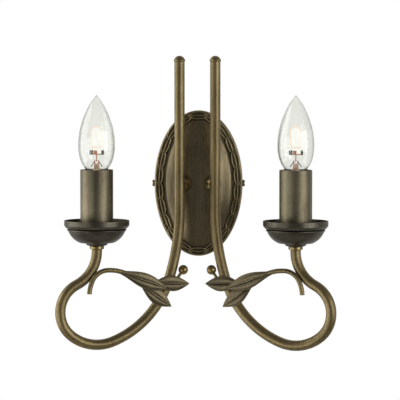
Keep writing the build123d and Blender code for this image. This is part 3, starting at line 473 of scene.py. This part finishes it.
# %% [markdown]
# ## The pressed backplate
# The real plate is one thin sheet, pressed between two dies: a rolled rim, a border of linked eyes
# with a bar in each, a groove and a domed field. There are eleven links over the two side screws and
# eleven under them. Every link is the same, so one link's length of the border is shaped as a flat
# grid, repeated and bent round an oval. The heights of the die are worked out across the border,
# because its strands run into each other as one sheet and can't be laid on as separate rings.

# %% The die for one link
LINKS = 22
BORDER = 11.0          # mm from the rim to the field
LINK_LINE = 4.5        # mm from the rim to the line through the links
EYE = 3.3              # mm from that line to each strand, at a link's middle
PINCH = 1.5            # mm from that line to each strand, where two links meet
BELLY = 0.55           # how full an eye is: 1 is a slim wave, and less is fuller
STRAND = 0.95          # mm, half a strand's width
BAR = 0.85             # mm, half the width of the bar in each link
BAR_END = 0.3          # the bar's width where two links meet, as a share
BAR_SWELL = 5          # shares of its width that the bar gains over a link's length
TIE = 0.12             # half the width of the tie between two links, as a share of a link's length
STRAND_RISE, BAR_RISE, TIE_RISE = 1.6, 1.5, 1.4   # mm over the border's floor
GROOVE = 1.3           # mm, the dark groove that follows the links round the field
SINK, FIELD, RIM = 11.2, 12.4, 12.7   # mm from the wall: border's floor, field's edge and rolled rim
LEDGE = 0.2            # mm from the rim's top down to the flat inside it
GROOVE_FLOOR = 10.5    # mm from the wall
ROLL = 1.7             # mm, the rim's radius

plate_low, plate_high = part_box("backplate")
half_width = (plate_high[0] - plate_low[0]) / 2
half_height = (plate_high[2] - plate_low[2]) / 2
crown = -plate_low[1]


def bump(gap, half, rise):
    """The round back of a pressed strand, at a distance from its middle line."""
    return rise * sqrt(1 - (gap / half) ** 2) if abs(gap) < half else 0.0


def die_height(share, inset):
    """The sheet's height over the wall in mm, at a share of one link's length and an inset from the rim."""
    belly = PINCH + (EYE - PINCH) * sin(pi * share) ** BELLY
    height = SINK
    if inset < LINK_LINE - belly:
        height = RIM - LEDGE
    if inset > LINK_LINE + belly:
        height = GROOVE_FLOOR
    if inset > LINK_LINE + belly + STRAND + GROOVE:
        height = FIELD
    if inset < ROLL:
        height = RIM - ROLL * (1 - sqrt(1 - (1 - inset / ROLL) ** 2))
    for side in (-1, 1):
        height = max(height, SINK + bump(inset - LINK_LINE - side * belly, STRAND, STRAND_RISE))
    from_end = min(share, 1 - share)
    bar = BAR * min(1, BAR_END + BAR_SWELL * from_end)
    height = max(height, SINK + bump(inset - LINK_LINE, bar, BAR_RISE))
    if abs(inset - LINK_LINE) < belly:
        height = max(height, SINK + bump(from_end, TIE, TIE_RISE))
    return height


print("the bar stands", round(die_height(0.5, LINK_LINE), 2), "mm from the wall")

# %% Shape one link
LINK_GRID = 28, 42     # faces along and across a link

bpy.ops.curve.primitive_bezier_circle_add(radius=1)
oval = bpy.context.object
oval.data.dimensions = "2D"
oval.data.resolution_u = 64
bpy.ops.object.mode_set(mode="EDIT")
# handles that keep their direction, so that the stretched circle is a true oval
bpy.ops.curve.handle_type_set(type="ALIGNED")
bpy.ops.transform.resize(value=(half_width - LINK_LINE * MM, half_height - LINK_LINE * MM, 1))
bpy.ops.object.mode_set(mode="OBJECT")
pitch = oval.data.splines[0].calc_length(resolution=256) / LINKS
print("each link is", round(pitch / MM, 2), "mm long")

bpy.ops.mesh.primitive_grid_add(x_subdivisions=LINK_GRID[0], y_subdivisions=LINK_GRID[1], size=1)
plate = bpy.context.object
plate.name = "pressed_backplate"
bpy.ops.object.mode_set(mode="EDIT")
bpy.ops.transform.resize(value=(pitch, BORDER * MM, 1))
bpy.ops.transform.translate(value=(pitch / 2, (LINK_LINE - BORDER / 2) * MM, 0))
bpy.ops.object.mode_set(mode="OBJECT")
for point in plate.data.vertices:
    # the oval starts at the bottom, in the middle of a link
    point.co.z = MM * die_height((point.co.x / pitch + 0.5) % 1, LINK_LINE - point.co.y / MM)

# %% Bend the links round the oval
repeat = plate.modifiers.new("repeat", "ARRAY")
repeat.count = LINKS
repeat.use_relative_offset = False
repeat.use_constant_offset = True
repeat.constant_offset_displace = (pitch, 0, 0)
bend = plate.modifiers.new("bend", "CURVE")
bend.object = oval
bend.deform_axis = "POS_X"
bpy.ops.object.modifier_apply(modifier="repeat")
bpy.ops.object.modifier_apply(modifier="bend")
bpy.data.objects.remove(oval)
print(len(plate.data.polygons), "faces in the border")


# %% Fold the side wall and raise the dome
def pick(piece, test):
    """In edit mode, select just the vertices that pass a test."""
    bpy.ops.mesh.select_all(action="DESELECT")
    sheet = bmesh.from_edit_mesh(piece.data)
    for vertex in sheet.verts:
        vertex.select = test(vertex)
    sheet.select_flush(True)
    bmesh.update_edit_mesh(piece.data)


def outside(vertex):
    """True for a point outside the line through the links."""
    across = vertex.co.x / (half_width - LINK_LINE * MM)
    up = vertex.co.y / (half_height - LINK_LINE * MM)
    return across ** 2 + up ** 2 > 1


WALL_EDGE = 0.5        # mm, narrow rings that keep the side wall's two ends crisp
DOME_RINGS = (0.985, 0.95, 0.9, 0.83, 0.75, 0.66, 0.56, 0.45, 0.34, 0.23, 0.12)   # shares of the field
DOME_POWER = 3.0       # how far out the field stays flat before it falls to the border
CROWN_GAP = 0.1        # mm that the dome's top ring stays under the solid's crown

bpy.ops.object.mode_set(mode="EDIT")
bpy.ops.mesh.select_all(action="SELECT")
bpy.ops.mesh.remove_doubles(threshold=0.02 * MM)
pick(plate, lambda vertex: vertex.is_boundary and outside(vertex))
for drop in (WALL_EDGE, RIM - ROLL - 2 * WALL_EDGE, WALL_EDGE):
    bpy.ops.mesh.extrude_edges_move(TRANSFORM_OT_translate={"value": (0, 0, -drop * MM)})
pick(plate, lambda vertex: vertex.is_boundary and not outside(vertex))
share_before, height_before = 1.0, FIELD * MM
for share in DOME_RINGS:
    height = FIELD * MM + (crown - FIELD * MM - CROWN_GAP * MM) * (1 - share ** DOME_POWER)
    bpy.ops.mesh.extrude_edges_move(TRANSFORM_OT_translate={"value": (0, 0, height - height_before)})
    bpy.ops.transform.resize(value=(share / share_before, share / share_before, 1), center_override=(0, 0, 0))
    share_before, height_before = share, height
bpy.ops.mesh.merge(type="CENTER")
print("dome raised to", round(height / MM, 2), "mm in", len(DOME_RINGS), "rings")

# %% Turn the plate to the wall and give the sheet its thickness
PLATE_SHEET = 0.7      # mm
SMOOTH_BELOW = radians(50)

bpy.ops.mesh.select_all(action="SELECT")
bpy.ops.mesh.normals_make_consistent(inside=False)
bpy.ops.transform.rotate(value=-pi / 2, orient_axis="X", center_override=(0, 0, 0))
bpy.ops.object.mode_set(mode="OBJECT")
sheet = plate.modifiers.new("sheet", "SOLIDIFY")
sheet.thickness = PLATE_SHEET * MM
bpy.ops.object.modifier_apply(modifier="sheet")
bpy.ops.object.shade_smooth_by_angle(angle=SMOOTH_BELOW)
plate.data.materials.append(pressed_bronze)
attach(plate, "fixture")
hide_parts("backplate")
low, high = ([reach(point.co[axis] for point in plate.data.vertices) for axis in range(3)]
             for reach in (min, max))
print("backplate from", in_mm(low), "to", in_mm(high), "mm,", len(plate.data.polygons), "faces")

# %% [markdown]
# ## The beaten leaves
# The leaves are cut from sheet, scored along the middle and beaten hollow from behind, so that each
# half swells a little and the midrib stands up between two creases. Each leaf starts as a flat grid.
# Its rows are lifted to make the cross-section, then its stations are narrowed to the outline and
# dropped along the leaf's arch. The grid's own UV map keeps the length and the width of the leaf,
# so the finish can draw its fine veins along it.

# %% The left arm's own plane
ARM_TURN = radians(22)
ARM_OUT = Vector((-cos(ARM_TURN), -sin(ARM_TURN), 0))
ARM_FRONT = Vector((sin(ARM_TURN), -cos(ARM_TURN), 0))
ARM_FOOT = Vector((-17.24, -36, 0))
UP = Vector((0, 0, 1))


def on_arm(out, up, front):
    """A place in the left arm's plane, from millimetres out along the arm, up and towards the front."""
    return (ARM_FOOT + out * ARM_OUT + up * UP + front * ARM_FRONT) * MM


print("the arm's plane starts at", in_mm(on_arm(0, 0, 0)))

# %% A leaf's cross-section
LEAF_FOLD = tan(radians(8))
# heights in metres; the rest are shares of the leaf's half width
RIB_RISE, RIB_FOOT = 0.45 * MM, 0.08
CREASE_DEPTH, CREASE_PLACE, CREASE_HALF = 0.3 * MM, 0.13, 0.07
SWELL_RISE, SWELL_START, SWELL_POWER = 0.75 * MM, 0.1, 0.8


def cross_section(across, half):
    """How far a leaf's face stands forward, at a share of its half width."""
    share = abs(across)
    rib = RIB_RISE * max(0.0, 1 - share / RIB_FOOT)
    crease = -CREASE_DEPTH * max(0.0, 1 - abs(share - CREASE_PLACE) / CREASE_HALF)
    over_swell = min(1, max(0, (share - SWELL_START) / (1 - SWELL_START)))
    swell = SWELL_RISE * sin(pi * over_swell) ** SWELL_POWER
    return rib + crease + swell - LEAF_FOLD * half * share


print("the midrib stands", round(RIB_RISE / MM, 2), "mm over the fold")

# %% Beat one leaf
LEAF_SHEET = 0.9 * MM
LEAF_GRID = 40, 28     # faces along and across a leaf
STALK_RUN = 3          # the stalk fades out over one part in three of the length
BLADE_POWER = 0.95
LOWER_DRAWN = 0.2      # how much further out the lower half is at its widest
LEAST = 0.02           # mm of width and share of relief that a leaf's ends keep


def leaf(name, base, tip, upper, lower, stalk, arch, drawn):
    """A beaten leaf from base to tip on the arm.

    The half widths of its halves and its stalk and the radius of its arch are in mm; drawn says how
    far its base is drawn out.
    """
    root = on_arm(*base)
    along = on_arm(*tip) - root
    length = along.length
    bpy.ops.object.select_all(action="DESELECT")
    bpy.ops.mesh.primitive_grid_add(x_subdivisions=LEAF_GRID[0], y_subdivisions=LEAF_GRID[1], size=2,
                                    calc_uvs=True)
    piece = bpy.context.object
    piece.name = name
    bpy.ops.object.mode_set(mode="EDIT")
    bpy.ops.transform.resize(value=(length / 2, 1, 1))
    sheet = bmesh.from_edit_mesh(piece.data)
    rows = sorted({round(vertex.co.y, 5) for vertex in sheet.verts})
    stations = sorted({round(vertex.co.x, 6) for vertex in sheet.verts})
    for row in rows:
        pick(piece, lambda vertex: abs(vertex.co.y - row) < 1e-4)
        bpy.ops.transform.translate(value=(0, 0, cross_section(row, upper * MM)))
    for station in stations:
        share = station / length + 0.5
        stem = stalk * max(0, 1 - STALK_RUN * share) ** 2
        blade = sin(pi * share ** drawn) ** BLADE_POWER if 0 < share < 1 else 0
        fuller = sin(pi * share ** (drawn + LOWER_DRAWN)) if 0 < share < 1 else 0
        for side, half in ((1, stem + upper * blade), (-1, stem + lower * fuller)):
            pick(piece, lambda vertex: abs(vertex.co.x - station) < 1e-5 and vertex.co.y * side > 1e-4)
            bpy.ops.transform.resize(value=(1, max(half, LEAST) * MM, 1), center_override=(0, 0, 0))
        pick(piece, lambda vertex: abs(vertex.co.x - station) < 1e-5)
        bpy.ops.transform.resize(value=(1, 1, max(blade, LEAST)), center_override=(0, 0, 0))
        bpy.ops.transform.translate(value=(0, 0, sqrt((arch * MM) ** 2 - station ** 2) - arch * MM))
    bpy.ops.mesh.select_all(action="SELECT")
    bpy.ops.mesh.remove_doubles(threshold=0.05 * MM)
    bpy.ops.mesh.normals_make_consistent(inside=False)
    bpy.ops.object.mode_set(mode="OBJECT")
    back = piece.modifiers.new("sheet", "SOLIDIFY")
    back.thickness = LEAF_SHEET
    back.offset = -1
    soft = piece.modifiers.new("soft", "SUBSURF")
    soft.levels = soft.render_levels = 1
    bpy.ops.object.modifier_apply(modifier="sheet")
    bpy.ops.object.modifier_apply(modifier="soft")
    level = along.normalized()
    turned = Matrix((level, ARM_FRONT.cross(level), ARM_FRONT)).transposed().to_4x4()
    piece.matrix_world = Matrix.Translation(root + along / 2) @ turned
    bpy.ops.object.transform_apply(location=True, rotation=True, scale=True)
    bpy.ops.object.shade_smooth()
    piece.data.materials.append(leaf_bronze)
    print(name, "of", len(piece.data.polygons), "faces")
    return piece


print("a leaf starts as a grid of", LEAF_GRID[0], "by", LEAF_GRID[1], "faces")

# %% The left arm's three leaves
FRONT_TIP = (15.2, -99.6, 10.65)

front_leaf = leaf("left_front_leaf_beaten", (68.0, -80.8, 10.65), FRONT_TIP, 7.6, 7.6, 1.2, 170, 1.2)
inner_leaf = leaf("left_inner_leaf_beaten", (29.0, -94.2, 7.35), (-8.2, -95.7, 7.35), 7.8, 7.8, 0, 120, 0.95)
lower_leaf = leaf("left_lower_leaf_beaten", (42.5, -95.6, 7.75), (10.3, -117.6, 7.75), 8.0, 7.4, 0, 120, 0.95)

# %% [markdown]
# ## The tendril
# A round rod is bent in three arcs by hand, and its thick end is drawn out to a taper that lies along
# the front leaf's midrib. The other end is cut square where it meets the arm. It is swept from one
# circle with three spins, and then the first ring is drawn out.

# %% Bend the tendril
TENDRIL_RADIUS = 2.3   # mm
TENDRIL_ROOT = on_arm(50.1, -87.6, 7.75)
TENDRIL_LEAN = radians(2.5)
TENDRIL_START = radians(34.1)
TENDRIL_BENDS = [(42.6, 36), (16.6, 63), (33.5, 22.8)]   # radius in mm and degrees of each arc
SPIN_STEP = 3          # degrees

rod_out = cos(TENDRIL_LEAN) * ARM_OUT - sin(TENDRIL_LEAN) * ARM_FRONT
rod_side = rod_out.cross(UP)
rod_start = cos(TENDRIL_START) * rod_out + sin(TENDRIL_START) * UP
rod_place, rod_way = TENDRIL_ROOT, rod_start
bpy.ops.object.select_all(action="DESELECT")
bpy.ops.mesh.primitive_circle_add(vertices=24, radius=TENDRIL_RADIUS * MM, fill_type="NOTHING")
tendril = bpy.context.object
tendril.name = "left_tendril"
tendril.matrix_world = Matrix.Translation(rod_place) @ rod_way.to_track_quat("Z", "Y").to_matrix().to_4x4()
bpy.ops.object.transform_apply(location=True, rotation=True, scale=True)
bpy.ops.object.mode_set(mode="EDIT")
bpy.ops.mesh.select_all(action="SELECT")
for radius, degrees in TENDRIL_BENDS:
    centre = rod_place + radius * MM * rod_way.cross(rod_side)
    bpy.ops.mesh.spin(steps=round(degrees / SPIN_STEP), angle=radians(degrees), center=centre, axis=rod_side)
    sheet = bmesh.from_edit_mesh(tendril.data)
    ring = [vertex.co for vertex in sheet.verts if vertex.select]
    rod_place = sum(ring, Vector()) / len(ring)
    rod_way = Matrix.Rotation(-radians(degrees), 3, rod_side) @ rod_way
    print("bend ends at", in_mm(rod_place))
bpy.ops.mesh.edge_face_add()

# %% Draw its thick end out along the leaf
MIDRIB = (59.5, -83.8, 10.65)   # a place on the front leaf's midrib, over the tendril
# each pull's step along the leaf in mm, what is left of the width, and its sink into the leaf in mm
TAPER = [(1.5, 0.9, 0.1), (2.0, 0.84, 0.2), (2.5, 0.75, 0.2), (2.5, 0.6, 0.1)]

down_leaf = (on_arm(*FRONT_TIP) - on_arm(*MIDRIB)).normalized()
pick(tendril, lambda vertex: abs((vertex.co - TENDRIL_ROOT).dot(rod_start)) < 0.01 * MM
     and (vertex.co - TENDRIL_ROOT).length < 1.1 * TENDRIL_RADIUS * MM)
taper_place = TENDRIL_ROOT.copy()
for step, shrink, sink in TAPER:
    move = (step * down_leaf - sink * ARM_FRONT) * MM
    taper_place += move
    bpy.ops.mesh.extrude_edges_move(TRANSFORM_OT_translate={"value": move})
    bpy.ops.transform.resize(value=(shrink, shrink, shrink), center_override=taper_place)
bpy.ops.mesh.merge(type="CENTER")
bpy.ops.mesh.select_all(action="SELECT")
bpy.ops.mesh.normals_make_consistent(inside=False)
bpy.ops.object.mode_set(mode="OBJECT")
bpy.ops.object.shade_smooth_by_angle(angle=SMOOTH_BELOW)
tendril.data.materials.append(lit_arm_bronze)
print("tendril of", len(tendril.data.polygons), "faces")


# %% Join leaf and tendril, and turn a copy of each piece over to the right arm
def choose(first, *others):
    """Select just these pieces, with the first as the active one."""
    bpy.ops.object.select_all(action="DESELECT")
    for piece in (first, *others):
        piece.select_set(True)
    bpy.context.view_layer.objects.active = first


def to_the_right(piece, across=None):
    """A copy of a left piece with its own mesh, moved across or else turned over between the arms."""
    choose(piece)
    bpy.ops.object.duplicate()
    twin = bpy.context.object
    twin.name = piece.name.replace("left", "right")
    bpy.ops.object.mode_set(mode="EDIT")
    bpy.ops.mesh.select_all(action="SELECT")
    if across is None:
        bpy.ops.transform.resize(value=(-1, 1, 1), center_override=(0, 0, 0))
        bpy.ops.mesh.normals_make_consistent(inside=False)
    else:
        bpy.ops.transform.translate(value=(across, 0, 0))
    bpy.ops.object.mode_set(mode="OBJECT")
    return twin


choose(front_leaf, tendril)
bpy.ops.object.join()
for piece, node in ((front_leaf, "front_leaf"), (inner_leaf, "inner_leaf"), (lower_leaf, "lower_leaf")):
    for side, shown in (("left", piece), ("right", to_the_right(piece))):
        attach(shown, "fixture")
        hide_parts(side + "_" + node)
        print(shown.name, "replaces", side + "_" + node)

# %% [markdown]
# ## Inside the bulb
# A small quartz capsule is so full of the filament's light that it looks white, with a peach rim where
# the eye looks along its wall. Its flat pinched foot stands in a clip of two black steel cheeks and a
# copper one. A wire holds the clip over the stem's glass, which is painted rose as a painted glow from
# the capsule, and two short dark wires splay out from the stem's top. The capsule and the stem are
# each drawn up from one ring, as a glassblower would do it.

# %% Draw up the capsule
FOOT_HALF = (4.0, 1.3)         # mm, half the width and thickness of the pinched foot
CAPSULE_RADIUS = 5.5           # mm
CAPSULE_SHOULDER = 5.2         # mm from the top, where the dome starts
CAPSULE_DRAW = [(5.0, *FOOT_HALF), (5.8, 4.6, 2.8), (6.8, 5.3, 4.8), (7.8, CAPSULE_RADIUS, CAPSULE_RADIUS)]
DOME_TURNS = (0, 18, 36, 54, 70, 82)   # degrees up from the shoulder

capsule_low, capsule_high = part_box("left_bulb_capsule")
axis_x = (capsule_low[0] + capsule_high[0]) / 2
axis_y = (capsule_low[1] + capsule_high[1]) / 2
capsule_foot = Vector((axis_x, axis_y, capsule_low[2]))


def draw_up(corners, foot_half, rings, foot, material):
    """A form pulled up from a flat foot, through rings of (height, half width, half depth) in mm over it."""
    bpy.ops.object.select_all(action="DESELECT")
    bpy.ops.mesh.primitive_circle_add(vertices=corners, radius=MM, fill_type="NGON")
    piece = bpy.context.object
    bpy.ops.object.mode_set(mode="EDIT")
    bpy.ops.mesh.select_all(action="SELECT")
    bpy.ops.transform.resize(value=(*foot_half, 1), center_override=(0, 0, 0))
    before = (0, *foot_half)
    for height, wide, deep in rings:
        bpy.ops.mesh.extrude_edges_move(TRANSFORM_OT_translate={"value": (0, 0, (height - before[0]) * MM)})
        bpy.ops.transform.resize(value=(wide / before[1], deep / before[2], 1), center_override=(0, 0, 0))
        before = (height, wide, deep)
    bpy.ops.mesh.merge(type="CENTER")
    bpy.ops.mesh.select_all(action="SELECT")
    bpy.ops.mesh.normals_make_consistent(inside=False)
    bpy.ops.transform.translate(value=foot)
    bpy.ops.object.mode_set(mode="OBJECT")
    bpy.ops.object.shade_smooth_by_angle(angle=SMOOTH_BELOW)
    piece.data.materials.append(material)
    return piece


top = (capsule_high[2] - capsule_low[2]) / MM
dome = [(top - CAPSULE_SHOULDER * (1 - sin(turn)), CAPSULE_RADIUS * cos(turn), CAPSULE_RADIUS * cos(turn))
        for turn in (radians(degree) for degree in DOME_TURNS)]
capsule = draw_up(48, FOOT_HALF, CAPSULE_DRAW + dome, capsule_foot, lit_quartz)
capsule.name = "left_quartz_capsule"
print("capsule of", len(capsule.data.polygons), "faces,", round(top, 1), "mm tall")

# %% Cut the clip and its wires
WIRE_EDGE = 0.2        # mm


def block(size, place, material, edge=0.3):
    """A small block with softened edges, its size and its middle in mm over the capsule's foot."""
    bpy.ops.object.select_all(action="DESELECT")
    bpy.ops.mesh.primitive_cube_add(size=MM)
    piece = bpy.context.object
    bpy.ops.object.mode_set(mode="EDIT")
    bpy.ops.transform.resize(value=size)
    bpy.ops.mesh.bevel(offset=edge * MM, segments=2, affect="EDGES")
    bpy.ops.transform.translate(value=capsule_foot + Vector(place) * MM)
    bpy.ops.object.mode_set(mode="OBJECT")
    piece.data.materials.append(material)
    return piece


def wire(start, end, radius, material):
    """A straight wire with rounded ends between two places in mm over the capsule's foot."""
    way = Vector(end) - Vector(start)
    bpy.ops.object.select_all(action="DESELECT")
    bpy.ops.mesh.primitive_cylinder_add(vertices=12, radius=radius * MM, depth=way.length * MM)
    piece = bpy.context.object
    bpy.ops.object.mode_set(mode="EDIT")
    bpy.ops.mesh.select_all(action="DESELECT")
    bpy.ops.mesh.edges_select_sharp(sharpness=radians(60))
    bpy.ops.mesh.bevel(offset=WIRE_EDGE * MM, segments=2, affect="EDGES")
    bpy.ops.object.mode_set(mode="OBJECT")
    middle = capsule_foot + (Vector(start) + Vector(end)) * MM / 2
    piece.matrix_world = Matrix.Translation(middle) @ way.to_track_quat("Z", "Y").to_matrix().to_4x4()
    bpy.ops.object.transform_apply(location=True, rotation=True, scale=True)
    bpy.ops.object.shade_smooth_by_angle(angle=SMOOTH_BELOW)
    piece.data.materials.append(material)
    return piece


stem_foot = (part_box("left_bulb_mount")[0][2] - capsule_low[2]) / MM
mount = block((3.6, 4.6, 4.4), (-5.0, 0, 1.1), blackened_steel)
mount.name = "left_wired_mount"
mount_pieces = [
    block((3.4, 4.4, 3.8), (-1.0, 0, 1.1), copper),
    block((2.2, 4.6, 4.4), (5.8, 0, 1.1), blackened_steel),
    block((13.6, 2.0, 0.9), (0, 0, -0.6), copper, 0.2),
    wire((0, 0, -0.8), (0, 0, -7.5), 0.5, copper),
    wire((-2.0, 0, -7.2), (-5.4, 0, -12.4), 0.4, mount_wire),
    wire((2.0, 0, -7.2), (5.4, 0, -12.4), 0.4, mount_wire),
    wire((-1.7, 0, -6.0), (-2.2, 0, stem_foot + 1), 0.45, copper),
    wire((1.7, 0, -6.0), (2.2, 0, stem_foot + 1), 0.45, copper),
    block((5.2, 2.4, 5.0), (0, 0, -11.5), glow_painted_stem_glass),
]
print("clip and wires of", 1 + len(mount_pieces), "pieces")

# %% Flare the stem's foot, and join the mount
FLARE_HALF = (6.8, 6.8)        # mm
STEM_FLARE = [(1.0, 6.0, 6.0), (4.0, 3.6, 3.6), (7.0, 2.7, 1.8), (9.0, 2.5, 1.2)]

stem = draw_up(32, FLARE_HALF, STEM_FLARE, capsule_foot + stem_foot * MM * UP, glow_painted_stem_glass)
choose(mount, *mount_pieces, stem)
bpy.ops.object.join()
print("mount of", len(mount.data.polygons), "faces")

# %% Put both into each bulb
# the right bulb's clip stands as the left one does, so its copy is moved and not turned over
for piece, node, slot in ((capsule, "bulb_capsule", "clear_glass"), (mount, "bulb_mount", "bulb_mount")):
    for side, shown in (("left", piece), ("right", to_the_right(piece, -2 * axis_x))):
        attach(shown, side + "_bulb")
        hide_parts(side + "_" + node)
        print(shown.name, "replaces", side + "_" + node)
